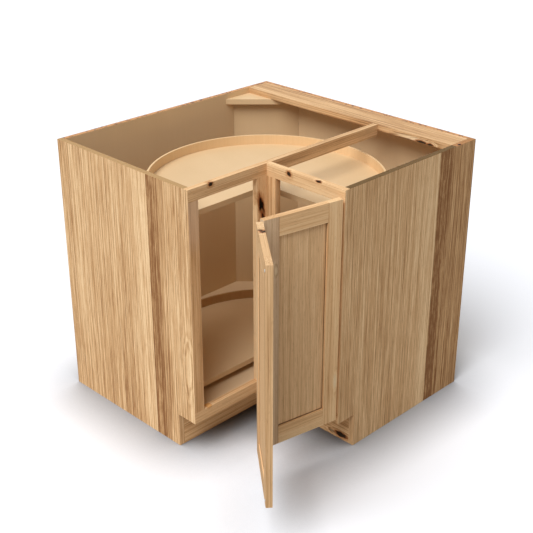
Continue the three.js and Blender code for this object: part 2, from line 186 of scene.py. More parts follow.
def raise_bump(tree, surface, height, strength, distance):
    inputs = {"Height": height, "Strength": strength, "Distance": distance}
    bump = put(tree, "ShaderNodeBump", inputs)
    tree.links.new(bump.outputs[0], surface.inputs["Normal"])


# ---- Wood ------------------------------------------------------------------------------------

# Each wood's colours, from pale to dark
HICKORY = ((0.0, (244, 207, 159)), (0.3, (230, 187, 138)), (0.55, (212, 167, 119)),
           (0.78, (184, 137, 91)), (1.0, (138, 92, 55)))
VENEER = ((0.0, (255, 222, 176)), (0.3, (228, 187, 140)), (0.55, (211, 169, 122)),
          (0.78, (186, 142, 98)), (1.0, (144, 100, 64)))
COOL_HICKORY = ((0.0, (228, 200, 165)), (0.3, (215, 182, 146)), (0.55, (199, 164, 129)),
                (0.78, (172, 137, 103)), (1.0, (130, 98, 70)))
PANEL_HICKORY = ((0.0, (241, 206, 162)), (0.3, (229, 189, 143)), (0.55, (212, 172, 126)),
                 (0.78, (186, 143, 100)), (1.0, (142, 100, 66)))
PINE = ((0.0, (232, 204, 152)), (0.5, (222, 188, 132)), (0.85, (206, 164, 104)),
        (1.0, (184, 138, 82)))

# A board's patterns: factor along the grain, scale, detail, roughness and what the seed gets added
FIGURE = (0.08, 8, 2, 0.5, 0)
STREAKS = (0.005, 270, 2, 0.6, 3)
FIBRES = (0.018, 430, 1, 0.6, 5)
DRIFT = (0.1, 24, 3, 0.6, 7)
PORES = (0.05, 900, 1, 0.5, 11)
BOARD_FINE = 1.15                              # times the scale of streaks and fibres
VENEER_FINE = 2.2

# How far each pattern moves the wood along its colours
MIDDLE = 0.42                                  # where the wood is without them
STREAK_DEPTH = 2.9
FIBRE_DEPTH = 1.5
DRIFT_DEPTH = 0.8
RING_DEPTH = 0.2
KNOT_RING_DEPTH = 0.45                         # added next to a knot
RINGS = 9                                      # growth rings over one wave of the figure
RING_EASE = (0.2, 1)                           # from early to late wood, as shares of a ring

PORE_LIMITS = (0.6, 0.72)                      # of the noise, from no pore to a full one
PORE_COVER = 0.34
PORE_COLOUR = (128, 86, 52)
FIBRE_HEIGHT = 0.5                             # against a pore's depth of 1
WOOD_ROUGHNESS = (0.46, 0.16)                  # the least, and what a streak adds
WOOD_SPECULAR = 0.05                           # low, or white surroundings turn level edges grey
WOOD_BUMP = (0.25, 0.0004)                     # strength and distance

# Distances from a knot's middle, in its own half sizes
KNOT_REACH = 3.0                               # where its colours end
KNOT_FADE = (0.32, 0.66)                       # shares of its reach with full and with no cover
KNOT_BEND = (0.4, 3.6)                         # it bends the growth rings from fully to not at all
KNOT_RINGS = (1, 3)                            # and it deepens them so
KNOT_WAVER = 1.5                               # how much its outline wavers
KNOT_OUTLINE = (1.1, 3, 0.65)                  # scale, detail and roughness of that

# A knot's colours from its middle to its reach
KNOT_COLOURS = ((0.0, (12, 8, 6)), (0.25, (24, 14, 10)), (0.31, (92, 50, 28)),
                (0.38, (164, 100, 58)), (0.5, (202, 148, 100)), (1.0, (216, 170, 122)))
SAP_COLOURS = ((0.0, (250, 196, 120)), (0.5, (236, 172, 104)), (1.0, (214, 160, 108)))
PALE_COLOURS = ((0.0, (246, 226, 190)), (0.5, (232, 204, 162)), (1.0, (206, 166, 122)))
GREY_COLOURS = ((0.0, (236, 204, 172)), (0.5, (228, 194, 160)), (1.0, (216, 178, 140)))

# Painted shade in the recess round a door panel, from the edge of the opening inwards
RECESS_SHADE_COVER = 0.8                                    # its cover
RECESS_SHADE_COLOUR = (84, 52, 28)
RECESS_SHADE_FULL = 0.001                             # full up to here
RECESS_SHADE_WIDTH = 0.0025                           # none from here on, or somewhat farther in
RECESS_SHADE_WAVER = 0.004                            # at most this much farther
RECESS_SHADE_EDGE = ((1, 1, 0.2), 60, 2, 0.5)

GRAIN_ORDER = {"x": (1, 2, 0), "y": (2, 0, 1), "z": (0, 1, 2)}


class Knot:
    """A knot or other patch about a point, with half its size along each axis.

    Cover is how far its colours hide the wood, and swirl how far it bends the growth rings.
    """

    def __init__(self, at, size, tilt=(0, 0, 0), cover=0.96, swirl=2.2, colours=KNOT_COLOURS):
        self.at, self.size, self.tilt = at, size, tilt
        self.cover, self.swirl, self.colours = cover, swirl, colours


class Board:
    """How a piece's wood runs and looks.

    Along is the grain's axis. Fine multiplies the scale of its lines. Streak and figure multiply
    the strength of its lines and of its broad patterns. Dark moves it along its colours.
    """

    def __init__(self, along, seed, colours=HICKORY, fine=BOARD_FINE, streak=1.0, figure=1.0,
                 dark=0.0, knots=()):
        self.along, self.seed, self.colours, self.fine = along, seed, colours, fine
        self.streak, self.figure, self.dark, self.knots = streak, figure, dark, knots


def grain_place(tree, place, along):
    """Coordinates with the grain along z."""
    parts = put(tree, "ShaderNodeSeparateXYZ", {0: place}).outputs
    inputs = {end: parts[start] for end, start in enumerate(GRAIN_ORDER[along])}
    return put(tree, "ShaderNodeCombineXYZ", inputs).outputs[0]


def knot_distance(tree, place, knot):
    """Distance from a knot's middle, 1 at its rim, on a wavering outline."""
    away = placed(tree, place, knot.at, knot.tilt, knot.size)
    length = put(tree, "ShaderNodeVectorMath", {0: away}, operation="LENGTH").outputs["Value"]
    scale, detail, roughness = KNOT_OUTLINE
    waver = noise(tree, away, scale, detail=detail, roughness=roughness)
    return centred(tree, waver, KNOT_WAVER, length)


def with_knot(tree, colour, distance, knot):
    """A colour with a knot on it."""
    reach = calc(tree, "DIVIDE", distance, KNOT_REACH)
    cover = ease_between(tree, reach, *KNOT_FADE, knot.cover, 0)
    return blend(tree, cover, colour, ramp(tree, reach, knot.colours))


def growth_rings(tree, figure, board, distances):
    """The rings as a pattern from 0 to 1, and their depth, both changed by the board's knots."""
    figure = calc(tree, "MULTIPLY", figure, RINGS)
    depth = RING_DEPTH * board.figure
    for knot, distance in zip(board.knots, distances):
        bend = ease_between(tree, distance, *KNOT_BEND, knot.swirl, 0)
        deeper = ease_between(tree, distance, *KNOT_RINGS, KNOT_RING_DEPTH, 0)
        figure = calc(tree, "ADD", figure, bend)
        depth = calc(tree, "ADD", depth, deeper)
    return ease_between(tree, calc(tree, "PINGPONG", figure, 1), *RING_EASE), depth


def wood_colour(tree, place, board, seed=None, dark=None):
    """A board's colour, the height of its fibres and pores, and its streaks.

    Seed and dark are outputs of nodes: one replaces the board's seed and the other adds to its
    darkness.
    """
    seed = board.seed if seed is None else seed
    grain = grain_place(tree, place, board.along)

    def pattern(kind, fine=1):
        stretch, scale, detail, roughness, shift = kind
        shape = ((1, 1, stretch), scale * fine, detail, roughness)
        return drawn_out(tree, grain, shape, calc(tree, "ADD", seed, shift))

    distances = [knot_distance(tree, place, knot) for knot in board.knots]
    rings, ring_depth = growth_rings(tree, pattern(FIGURE), board, distances)
    streaks = pattern(STREAKS, board.fine)
    fibres = pattern(FIBRES, board.fine)
    depth = centred(tree, streaks, STREAK_DEPTH * board.streak, MIDDLE + board.dark)
    depth = centred(tree, rings, ring_depth, depth)
    depth = centred(tree, fibres, FIBRE_DEPTH * board.streak, depth)
    depth = centred(tree, pattern(DRIFT), DRIFT_DEPTH * board.figure, depth)
    if dark is not None:
        depth = calc(tree, "ADD", depth, dark)
    colour = ramp(tree, depth, board.colours)

    pore = ease_between(tree, pattern(PORES), *PORE_LIMITS)
    colour = blend(tree, calc(tree, "MULTIPLY", pore, PORE_COVER), colour, shade(*PORE_COLOUR))
    for knot, distance in zip(board.knots, distances):
        colour = with_knot(tree, colour, distance, knot)
    height = calc(tree, "SUBTRACT", calc(tree, "MULTIPLY", fibres, FIBRE_HEIGHT), pore)
    return colour, height, streaks


def finish_wood(tree, surface, colour, height, streaks):
    least, added = WOOD_ROUGHNESS
    tree.links.new(colour, surface.inputs["Base Color"])
    tree.links.new(calc(tree, "MULTIPLY_ADD", streaks, added, least), surface.inputs["Roughness"])
    surface.inputs["Specular IOR Level"].default_value = WOOD_SPECULAR
    raise_bump(tree, surface, height, *WOOD_BUMP)


def wood(name, board, leaf=None, recess=None, top=None):
    """A board's material. On a leaf, everything is measured from its hinge line, along the leaf.

    Recess is a rectangle, low and high, whose border holds painted shade. Top is a height
    over which the wood has the warm colours.
    """
    material, tree, surface = new_material(name)
    place = object_place(tree)
    if leaf:
        place = placed(tree, place, leaf.hinge, (0, 0, leaf.turn))
    colour, height, streaks = wood_colour(tree, place, board)
    if recess:
        # Painted shade round the door panel, where it meets its frame
        painted_shade = recess_shade(tree, place, leaf.across, *recess)
        colour = blend(tree, painted_shade, colour, shade(*RECESS_SHADE_COLOUR))
    if top:
        colour = blend(tree, beyond(tree, place, "z", top), colour, ramp(tree, streaks, HICKORY))
    finish_wood(tree, surface, colour, height, streaks)
    return material


def recess_shade(tree, place, across, low, high):
    """Painted shade's cover: full at the border of a panel's opening, and none inside it."""
    waver = drawn_out(tree, place, RECESS_SHADE_EDGE)
    width = calc(tree, "MULTIPLY_ADD", waver, RECESS_SHADE_WAVER, RECESS_SHADE_WIDTH)
    side, up = part_of(tree, place, across), part_of(tree, place, "z")
    borders = ((side, low[0], 1), (side, high[0], -1), (up, low[1], 1), (up, high[1], -1))
    deepest = 0
    for part, edge, direction in borders:
        inside = calc(tree, "MULTIPLY", calc(tree, "SUBTRACT", part, edge), direction)
        painted_shade = ease_between(tree, inside, RECESS_SHADE_FULL, width, RECESS_SHADE_COVER, 0)
        deepest = calc(tree, "MAXIMUM", deepest, painted_shade)
    return deepest


# ---- Modelling helpers -----------------------------------------------------------------------


def deselect_all():
    if bpy.context.object and bpy.context.object.mode != "OBJECT":
        bpy.ops.object.mode_set(mode="OBJECT")
    bpy.ops.object.select_all(action="DESELECT")


def work_on(piece):
    deselect_all()
    piece.select_set(True)
    bpy.context.view_layer.objects.active = piece


def edit(piece, select_mode="EDGE"):
    work_on(piece)
    bpy.ops.object.mode_set(mode="EDIT")
    bpy.ops.mesh.select_mode(type=select_mode)


def done_editing():
    bpy.ops.object.mode_set(mode="OBJECT")


def ease_edges(piece, ease, segments=2, shortest=LONG_EDGE):
    """Rounds the sharp edges that are at least a given length."""
    edit(piece)
    bpy.ops.mesh.select_all(action="DESELECT")
    bpy.ops.mesh.edges_select_sharp(sharpness=math.radians(SHARP_DEGREES))
    done_editing()
    points = piece.data.vertices
    for edge in piece.data.edges:
        start, end = (points[index].co for index in edge.vertices)
        if (end - start).length < shortest:
            edge.select = False
    edit(piece)
    bpy.ops.mesh.bevel(offset=ease, segments=segments, affect="EDGES")
    done_editing()


def smooth(piece):
    """Smooth over gentle edges, with the large faces kept flat."""
    work_on(piece)
    bpy.ops.object.shade_smooth_by_angle(angle=math.radians(SMOOTH_DEGREES))
    modifier = piece.modifiers.new("normals", "WEIGHTED_NORMAL")
    modifier.keep_sharp = True
    bpy.ops.object.modifier_apply(modifier=modifier.name)


def finish_piece(piece, name, material, body, slot, *nodes):
    """Gives a piece its name, material and body, and hides the CAD nodes that it stands for.
    Slot is not used.
    """
    piece.name = piece.data.name = name
    piece.data.materials.clear()
    piece.data.materials.append(material)
    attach(piece, body)
    if nodes:
        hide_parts(*nodes)
    return piece


def merged_copy(node, whole_faces=True):
    """A CAD node's shape as a new piece with merged corners.

    Whole faces make one face of each flat side, which suits sides without holes.
    """
    piece = bpy.data.objects.new(node, frame["nodes"][node].data.copy())
    bpy.context.scene.collection.objects.link(piece)
    work_on(piece)
    bpy.ops.mesh.customdata_custom_splitnormals_clear()
    edit(piece)
    bpy.ops.mesh.select_all(action="SELECT")
    bpy.ops.mesh.remove_doubles(threshold=MERGE)
    if whole_faces:
        bpy.ops.mesh.dissolve_limited(angle_limit=math.radians(FLAT_DEGREES))
    done_editing()
    return piece


def eased(node, material, body, slot, ease=BOARD_EASE, shortest=LONG_EDGE, whole_faces=True):
    """The CAD node with eased edges and its own finish."""
    piece = merged_copy(node, whole_faces)
    ease_edges(piece, ease, shortest=shortest)
    smooth(piece)
    return finish_piece(piece, f"{node}_finished", material, body, slot, node)


# ---- Camera, light and floor -----------------------------------------------------------------

CAMERA_PLACE = (2.1535, -2.1535, 1.9443)
CAMERA_TURN = (math.radians(90 - 25.7775), 0, math.radians(45))
SENSOR_WIDTH = 36
LENS = 71.58


def add_camera():
    bpy.ops.object.camera_add(location=CAMERA_PLACE, rotation=CAMERA_TURN)
    camera = bpy.context.object
    camera.data.sensor_width = SENSOR_WIDTH
    camera.data.lens = LENS
    bpy.context.scene.camera = camera


SKY = 0.32                                     # even light from all round
# Each lamp: where its light comes from, its light on a surface square to it, and its spread
LAMPS = {
    "key": (Vector((0.09, -0.57, 0.8)), 0.97, math.radians(42)),
    "back_fill": (Vector((-0.62, 0.62, 0.26)), 0.16, math.radians(70)),
}


def add_lamps():
    for name, (origin, light, spread) in LAMPS.items():
        bpy.ops.object.light_add(type="SUN", rotation=origin.to_track_quat("Z", "Y").to_euler())
        lamp = bpy.context.object
        lamp.name = name
        lamp.data.energy = light * math.pi
        lamp.data.angle = spread


def add_sky():
    world = bpy.data.worlds.new("studio")
    bpy.context.scene.world = world
    world.use_nodes = True
    tree = world.node_tree
    tree.nodes.clear()
    rays = put(tree, "ShaderNodeLightPath").outputs
    seen = calc(tree, "MAXIMUM", rays["Is Camera Ray"], rays["Is Glossy Ray"])
    seen = calc(tree, "MAXIMUM", seen, rays["Is Transmission Ray"])
    even = put(tree, "ShaderNodeBackground", {"Color": (1, 1, 1, 1), "Strength": SKY})
    white = put(tree, "ShaderNodeBackground", {"Color": (1, 1, 1, 1), "Strength": 1})
    both = put(tree, "ShaderNodeMixShader", {0: seen, 1: even.outputs[0], 2: white.outputs[0]})
    put(tree, "ShaderNodeOutputWorld", {"Surface": both.outputs[0]})


FLOOR_SIZE = 60
FLOOR_SEEN = shade(248, 250, 255)              # cool, because wood warms its shadow
FLOOR_LIGHTING = shade(172, 168, 162)          # as the object sees it, so that less light comes up
FLOOR_SHADE_REACH = 0.22                       # a piece within this distance darkens the floor
FLOOR_SHADE = 1.35                             # the power that its open share is raised to
FLOOR_SAMPLES = 16
FLOOR_ROUGHNESS = 0.9


def add_floor():
    deselect_all()
    bpy.ops.mesh.primitive_plane_add(size=FLOOR_SIZE)
    floor = bpy.context.object
    floor.name = "floor"
    material, tree, surface = new_material("floor_white")
    seen = put(tree, "ShaderNodeLightPath").outputs["Is Camera Ray"]
    reach = {"Distance": FLOOR_SHADE_REACH}
    open_sky = put(tree, "ShaderNodeAmbientOcclusion", reach, samples=FLOOR_SAMPLES).outputs["AO"]
    shaded = blend(tree, calc(tree, "POWER", open_sky, FLOOR_SHADE), shade(0, 0, 0), FLOOR_SEEN)
    tree.links.new(blend(tree, seen, FLOOR_LIGHTING, shaded), surface.inputs["Base Color"])
    surface.inputs["Roughness"].default_value = FLOOR_ROUGHNESS
    surface.inputs["Specular IOR Level"].default_value = 0
    floor.data.materials.append(material)


# ---- Carcass ---------------------------------------------------------------------------------

MAPLE = (221, 190, 148)
# The same laminate, lighter on the back panels, as painted light
BACK_MAPLE_PAINTED_LIGHT = (229, 198, 156)
# The same laminate, lighter on the deck, as painted light
DECK_MAPLE_PAINTED_LIGHT = (232, 203, 164)
MAPLE_LIGHTER = (4, 4, 4)                      # its faint drift, up and down from its colour
MAPLE_DARKER = (6, 7, 8)
MAPLE_SPREAD = (0.2, 0.8)                      # where the drift takes these two
MAPLE_FIBRES = ((1, 1, 0.03), 160, 3, 0.6)
MAPLE_DRIFT = ((1, 1, 0.35), 5, 2, 0.5)
MAPLE_CONTRAST = 0.25                          # how much the fibres add to the drift
MAPLE_ROUGHNESS = (0.42, 0.1)                  # the least, and what a fibre adds
MAPLE_SPECULAR = 0.12
MAPLE_BUMP = (0.06, 0.0002)
BARK = (198, 142, 88)
BARK_SPECK = (112, 70, 42)
BARK_SPOTS = ((1, 1, 0.3), 75, 3, 0.7)
BARK_LIMITS = (0.5, 0.6)                       # of the spots' noise, from bark to speck


def laminate(name, seed, colour, contrast=MAPLE_CONTRAST, lines=MAPLE_FIBRES, bark_from=None):
    """Printed maple with a faint drift and faint fibres, and a bark edge over a given height."""
    material, tree, surface = new_material(name)
    place = object_place(tree)
    fibres = drawn_out(tree, place, lines, seed)
    drift = drawn_out(tree, place, MAPLE_DRIFT, seed + 2)
    lighter = tuple(value + change for value, change in zip(colour, MAPLE_LIGHTER))
    darker = tuple(value - change for value, change in zip(colour, MAPLE_DARKER))
    stops = tuple(zip(MAPLE_SPREAD, (lighter, darker)))
    colour = ramp(tree, centred(tree, fibres, contrast, drift), stops)
    if bark_from:
        spots = drawn_out(tree, place, BARK_SPOTS, seed + 4)
        speck = ease_between(tree, spots, *BARK_LIMITS)
        bark = blend(tree, speck, shade(*BARK), shade(*BARK_SPECK))
        colour = blend(tree, beyond(tree, place, "z", bark_from), colour, bark)
    least, added = MAPLE_ROUGHNESS
    tree.links.new(colour, surface.inputs["Base Color"])
    tree.links.new(calc(tree, "MULTIPLY_ADD", fibres, added, least), surface.inputs["Roughness"])
    surface.inputs["Specular IOR Level"].default_value = MAPLE_SPECULAR
    raise_bump(tree, surface, fibres, *MAPLE_BUMP)
    return material


class Seam:
    """The line on an end panel where its second sheet of veneer starts, at a place along an axis.

    Seed and streak are the veneer's. Dark is how much darker the second sheet is, from a distance
    fade on. Band_reach and band are the distance and depth of the darker band that follows the
    seam. Foot is how much the first sheet darkens towards the floor. Sawn is the colour of the
    panel's top edge.
    """

    def __init__(self, axis, at, seed, streak, dark, fade, band_reach, band, foot, sawn):
        self.axis, self.at, self.seed, self.streak = axis, at, seed, streak
        self.dark, self.fade, self.band_reach, self.band = dark, fade, band_reach, band
        self.foot, self.sawn = foot, sawn


SEAMS = {
    "left": Seam("x", -0.081, seed=71, streak=1.04, dark=0.0, fade=0.055,
                 band_reach=0.065, band=0.21, foot=0.13, sawn=(192, 156, 110)),
    "right": Seam("y", 0.331, seed=86, streak=0.88, dark=0.28, fade=0.03,
                  band_reach=0.09, band=0.32, foot=0.0, sawn=(116, 90, 54)),
}
SECOND_SHEET = 5.3                             # what it adds to the seed
VENEER_FIGURE = 0.34                           # strength of broad patterns, against the streaks'
SEAM_DARK = 0.32                               # the second sheet's darkness as far as its fade
FADE_WIDTH = 0.03                              # over which that goes to the sheet's own
BAND_FULL = 0.02                               # the band is full up to here
BAND_WAVER = 0.06                              # how much the band's and the fade's edges waver
FADE_WAVER = 0.05
MOTTLE = 4.5                                   # how strongly the band is mottled
SEAM_WAVE = ((1, 1, 0.1), 30, 3, 0.5)
SEAM_MOTTLE = ((1, 1, 0.35), 75, 3, 0.65)
PALE_SIDE = (-0.13, -0.01)                     # where the first sheet goes pale, up to the seam
PALENESS = -0.22
FOOT_HEIGHTS = (0.05, 0.5)                     # the foot is fully dark, and not at all
SAWN_DROP = 22                                 # a streak of the sawn edge is darker by this
SAWN_SPREAD = (0.3, 0.7)                       # where the streaks take the edge's two colours
REAR_SAWN = ((190, 140, 92), (150, 102, 62))
REAR_SAWN_FROM = END_THICKNESS / 4             # it starts this far behind the top board's front
EDGE_KNOT = Knot((0.401, 0.429, CARCASS_TOP), (0.0045, 0.007, 0.004), cover=1)
LOWER_FIGURE = Knot((0.080, END_LEFT, 0.30), (0.012, 0.02, 0.055), cover=0, swirl=5)


def veneered(tree, place, side):
    """The colour of an end panel's outer face: two sheets, one pale and one dark at the seam."""
    seam = SEAMS[side]
    past = calc(tree, "SUBTRACT", part_of(tree, place, seam.axis), seam.at)
    second = calc(tree, "GREATER_THAN", past, 0)
    seed = calc(tree, "MULTIPLY_ADD", second, SECOND_SHEET, seam.seed)
    wave = drawn_out(tree, place, SEAM_WAVE, seam.seed)
    mottle = drawn_out(tree, place, SEAM_MOTTLE, seam.seed)

    band_end = centred(tree, wave, BAND_WAVER, seam.band_reach)
    band = ease_between(tree, past, BAND_FULL, band_end, seam.band, 0)
    band = calc(tree, "MULTIPLY", band, centred(tree, mottle, MOTTLE, 1))
    fading = centred(tree, wave, FADE_WAVER, past)
    sheet = ease_between(tree, fading, seam.fade, seam.fade + FADE_WIDTH, SEAM_DARK, seam.dark)
    pale = ease_between(tree, past, *PALE_SIDE, 0, PALENESS)
    foot = ease_between(tree, part_of(tree, place, "z"), *FOOT_HEIGHTS, seam.foot, 0)
    dark = mixed(tree, second, calc(tree, "ADD", pale, foot), calc(tree, "ADD", band, sheet))

    knots = (LOWER_FIGURE,) if side == "left" else ()
    figure = VENEER_FIGURE * seam.streak
    board = Board("z", seam.seed, VENEER, VENEER_FINE, seam.streak, figure, knots=knots)
    return wood_colour(tree, place, board, seed, dark)


def sawn_edge(tree, place, streaks, side):
    """The colour of an end panel's top edge; the right-hand rear is browner and has a knot."""
    def streaked(light, dark):
        return ramp(tree, streaks, tuple(zip(SAWN_SPREAD, (light, dark))))

    light = SEAMS[side].sawn
    colour = streaked(light, tuple(value - SAWN_DROP for value in light))
    if side == "right":
        rear = beyond(tree, place, "y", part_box("rear_top_board")[0].y + REAR_SAWN_FROM)
        colour = blend(tree, rear, colour, streaked(*REAR_SAWN))
        colour = with_knot(tree, colour, knot_distance(tree, place, EDGE_KNOT), EDGE_KNOT)
    return colour


def end_panel_material(side):
    """Veneer outside, laminate inside, and a sawn top edge."""
    material, tree, surface = new_material(f"{side}_end_panel")
    place = object_place(tree)
    colour, height, streaks = veneered(tree, place, side)
    if side == "left":
        inside = beyond(tree, place, "y", END_LEFT + END_THICKNESS - SKIN)
    else:
        inside = beyond(tree, place, "x", END_RIGHT - END_THICKNESS + SKIN, over=False)
    colour = blend(tree, inside, colour, shade(*MAPLE))
    top = beyond(tree, place, "z", CARCASS_TOP - SKIN)
    colour = blend(tree, top, colour, sawn_edge(tree, place, streaks, side))
    finish_wood(tree, surface, colour, height, streaks)
    return material


def framed(name, board, side):
    """A face-frame board whose outer side follows the end panel next to it."""
    material, tree, surface = new_material(name)
    place = object_place(tree)
    colour, height, streaks = wood_colour(tree, place, board)
    if side == "left":
        outer = beyond(tree, place, "y", END_LEFT + SKIN, over=False)
    else:
        outer = beyond(tree, place, "x", END_RIGHT - SKIN)
    colour = blend(tree, outer, colour, veneered(tree, place, side)[0])
    finish_wood(tree, surface, colour, height, streaks)
    return material


TALL_TILT = (math.radians(14), 0, 0)
FRAME_STREAK = {"x": 0.5, "y": 0.5, "z": 0.65}
# Node, grain axis, seed, darkness and knots
FRAME_BOARDS = (
    ("left_top_rail", "y", 11, -0.04, (
        Knot((FACE, -0.321, 0.872), (0.007, 0.007, 0.006), swirl=1.6),
    )),
    ("left_bottom_rail", "y", 17, -0.12, (
        Knot((FACE - 0.010, -0.346, 0.1524), (0.010, 0.007, 0.004), cover=0.8,
             colours=SAP_COLOURS),
    )),
    ("left_outer_stile", "z", 23, -0.17, (
        Knot((FACE, -0.387, 0.80), (0.02, 0.03, 0.075), cover=0.6, swirl=0, colours=GREY_COLOURS),
    )),
    ("left_inner_stile", "z", 29, -0.5, (
        Knot((FACE, -0.1225, 0.746), (0.02, 0.009, 0.031), TALL_TILT, cover=1.0),
        Knot((FACE, -0.1145, 0.702), (0.02, 0.006, 0.022), TALL_TILT, cover=0.9, swirl=1),
    )),
    ("right_top_rail", "x", 35, -0.15, (
        Knot((0.192, -FACE, 0.867), (0.0074, 0.008, 0.0062), (0, 0.5, 0), swirl=1.6),
        Knot((0.306, -FACE, 0.875), (0.0085, 0.006, 0.0034), swirl=1),
    )),
    ("right_bottom_rail", "x", 41, 0.0, ()),
    ("right_inner_stile", "z", 47, 0.0, ()),
    ("right_outer_stile", "z", 53, 0.0, ()),
)


def face_frame():
    for node, along, seed, dark, knots in FRAME_BOARDS:
        board = Board(along, seed, dark=dark, streak=FRAME_STREAK[along], knots=knots)
        if "inner" in node:
            material = wood(node, board)
        else:
            material = framed(node, board, node.split("_")[0])
        eased(node, material, "carcass", "hickory")


TOE_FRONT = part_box("right_toe_board")[0].y
BOARD_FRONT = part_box("rear_top_board")[0].y
# Toe boards and top boards
OTHER_BOARDS = {
    "left_toe_board": Board("y", 101, dark=-0.12, streak=0.75),
    "right_toe_board": Board("x", 108, dark=-0.05, streak=0.75, knots=(
        Knot((0.357, TOE_FRONT, 0.0165), (0.022, 0.014, 0.009), swirl=4),
        Knot((0.318, TOE_FRONT, 0.014), (0.012, 0.012, 0.004), cover=0.6, swirl=1),
    )),
    "cross_beam": Board("y", 115, PANEL_HICKORY, dark=0.08, streak=0.55),
    "rear_top_board": Board("x", 122, PANEL_HICKORY, dark=0.16, streak=0.5, knots=(
        Knot((0.250, BOARD_FRONT, 0.862), (0.055, 0.010, 0.0055), cover=0.55,
             colours=PALE_COLOURS),
        Knot((0.278, BOARD_FRONT, 0.8585), (0.019, 0.010, 0.0056), swirl=4),
        Knot((0.312, BOARD_FRONT, 0.8575), (0.010, 0.010, 0.0055)),
        Knot((0.215, BOARD_FRONT, 0.8572), (0.030, 0.008, 0.0016), cover=0.75, swirl=1),
    )),
}
PINE_BLOCKS = {
    "left_deck_cleat": Board("y", 131, PINE),
    "right_deck_cleat": Board("x", 132, PINE),
    "toe_corner_block": Board("z", 133, PINE),
}
# Node, seed, colour and the height from which there is bark
LAMINATE_PANELS = (
    ("left_back_panel", 15, BACK_MAPLE_PAINTED_LIGHT, CARCASS_TOP - SKIN),
    ("right_back_panel", 16, BACK_MAPLE_PAINTED_LIGHT, CARCASS_TOP - SKIN),
    ("diagonal_back_panel", 19, MAPLE, None),
    ("deck_panel", 10, DECK_MAPLE_PAINTED_LIGHT, None),
    ("corner_gusset", 13, MAPLE, None),
)


def rest_of_carcass():
    for side in SEAMS:
        eased(f"{side}_end_panel", end_panel_material(side), "carcass", "hickory_veneer")
    for node, board in OTHER_BOARDS.items():
        eased(node, wood(node, board), "carcass", "hickory")
    for node, seed, colour, bark_from in LAMINATE_PANELS:
        material = laminate(node, seed, colour, bark_from=bark_from)
        eased(node, material, "carcass", "maple_laminate")
    for node, board in PINE_BLOCKS.items():
        eased(node, wood(node, board), "carcass", "pine")


# ---- Trays -----------------------------------------------------------------------------------

TRAY_BASE_SEED = 3
TRAY_RIM_SEED = 5
RIM_CONTRAST = 0.9
RIM_FIBRES = ((1, 1, 0.004), 160, 3, 0.6)
# Colours of each tray's base and rim. The two trays are alike, so the differences between
# their colours are painted light and shade: the upper base is darker than the lower one,
# and the lower rim is darker than the upper one.
TRAY_COLOURS = {
    "lower_tray": ((230, 199, 157), (200, 160, 114)),
    "upper_tray": ((219, 188, 146), (230, 196, 151)),
}


def trays():
    for body, (base_colour, rim_colour) in TRAY_COLOURS.items():
        base = laminate(f"{body}_base", TRAY_BASE_SEED, base_colour)
        rim = laminate(f"{body}_rim", TRAY_RIM_SEED, rim_colour, RIM_CONTRAST, RIM_FIBRES)
        eased(f"{body}_base", base, body, "maple_laminate")
        eased(f"{body}_rim", rim, body, "bent_maple")


# ---- Door ------------------------------------------------------------------------------------


class Leaf:
    """A leaf's hinge line, its turn from shut, the axis across it, and its frame's wood."""

    def __init__(self, hinge, turn, across, seed, colours, dark):
        self.hinge, self.turn, self.across = hinge, turn, across
        self.seed, self.colours, self.dark = seed, colours, dark


LEAVES = {
    "right_leaf": Leaf((*FRAME_HINGE, 0), DOOR_OPENING, "x", 201, HICKORY, -0.2),
    "left_leaf": Leaf((*CORNER_HINGE, 0), LEFT_LEAF_TURN, "y", 232, PANEL_HICKORY, -0.05),
}
# What each of its pieces adds to its seed
MEMBER_SEEDS = {
    "outer_stile": 0,
    "meeting_stile": 5,
    "bottom_rail": 10,
    "top_rail": 15,
    "panel": 20,
}
STILE_STREAK = 0.52
RAIL_STREAK = 0.4
PANEL_STREAK = 0.66
PANEL_FIGURE = 0.4
PANEL_DARK = -0.08
PANEL_OPENING = ((-0.2158, 0.1934), (-0.0525, 0.7972))     # low and high, from the hinge line
COOL_STILE = "right_leaf_meeting_stile"                    # greyer than the rest, but for its top
COOL_DARK = -0.1

DOOR_KNOTS = {
    "right_leaf_meeting_stile": (
        Knot((-0.227, -0.0175, 0.699), (0.004, 0.02, 0.012), cover=0.55, swirl=2,
             colours=PALE_COLOURS),
    ),
    "right_leaf_outer_stile": (
        Knot((-0.012, -0.0175, 0.275), (0.004, 0.02, 0.016), cover=0.7, swirl=2,
             colours=PALE_COLOURS),
    ),
    "left_leaf_top_rail": (
        Knot((-0.006, -0.066, 0.8542), (0.009, 0.0065, 0.012), (0, 0, 0.5), swirl=4),
        Knot((-0.013, -0.056, 0.8542), (0.007, 0.0045, 0.012), (0, 0, -0.4), swirl=2),
        Knot((-0.004, -0.047, 0.8542), (0.006, 0.003, 0.012), (0, 0, 0.3), cover=0.8, swirl=2),
    ),
}


def leaf_material(node, member, leaf):
    """The material of one of a leaf's five pieces."""
    seed = leaf.seed + MEMBER_SEEDS[member]
    if member == "panel":
        board = Board("z", seed, PANEL_HICKORY, VENEER_FINE, streak=PANEL_STREAK,
                      figure=PANEL_FIGURE, dark=PANEL_DARK)
        return wood(node, board, leaf, PANEL_OPENING)
    if "stile" in member:
        along, streak = "z", STILE_STREAK
    else:
        along, streak = leaf.across, RAIL_STREAK
    knots = DOOR_KNOTS.get(node, ())
    if node == COOL_STILE:
        board = Board(along, seed, COOL_HICKORY, streak=streak, dark=COOL_DARK, knots=knots)
        return wood(node, board, leaf, top=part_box(node)[1].z - SKIN)
    board = Board(along, seed, leaf.colours, streak=streak, dark=leaf.dark, knots=knots)
    return wood(node, board, leaf)


def door():
    for body, leaf in LEAVES.items():
        for member in MEMBER_SEEDS:
            node = f"{body}_{member}"
            eased(node, leaf_material(node, member, leaf), body, "hickory")


# ---- Metal, nylon and rubber -----------------------------------------------------------------

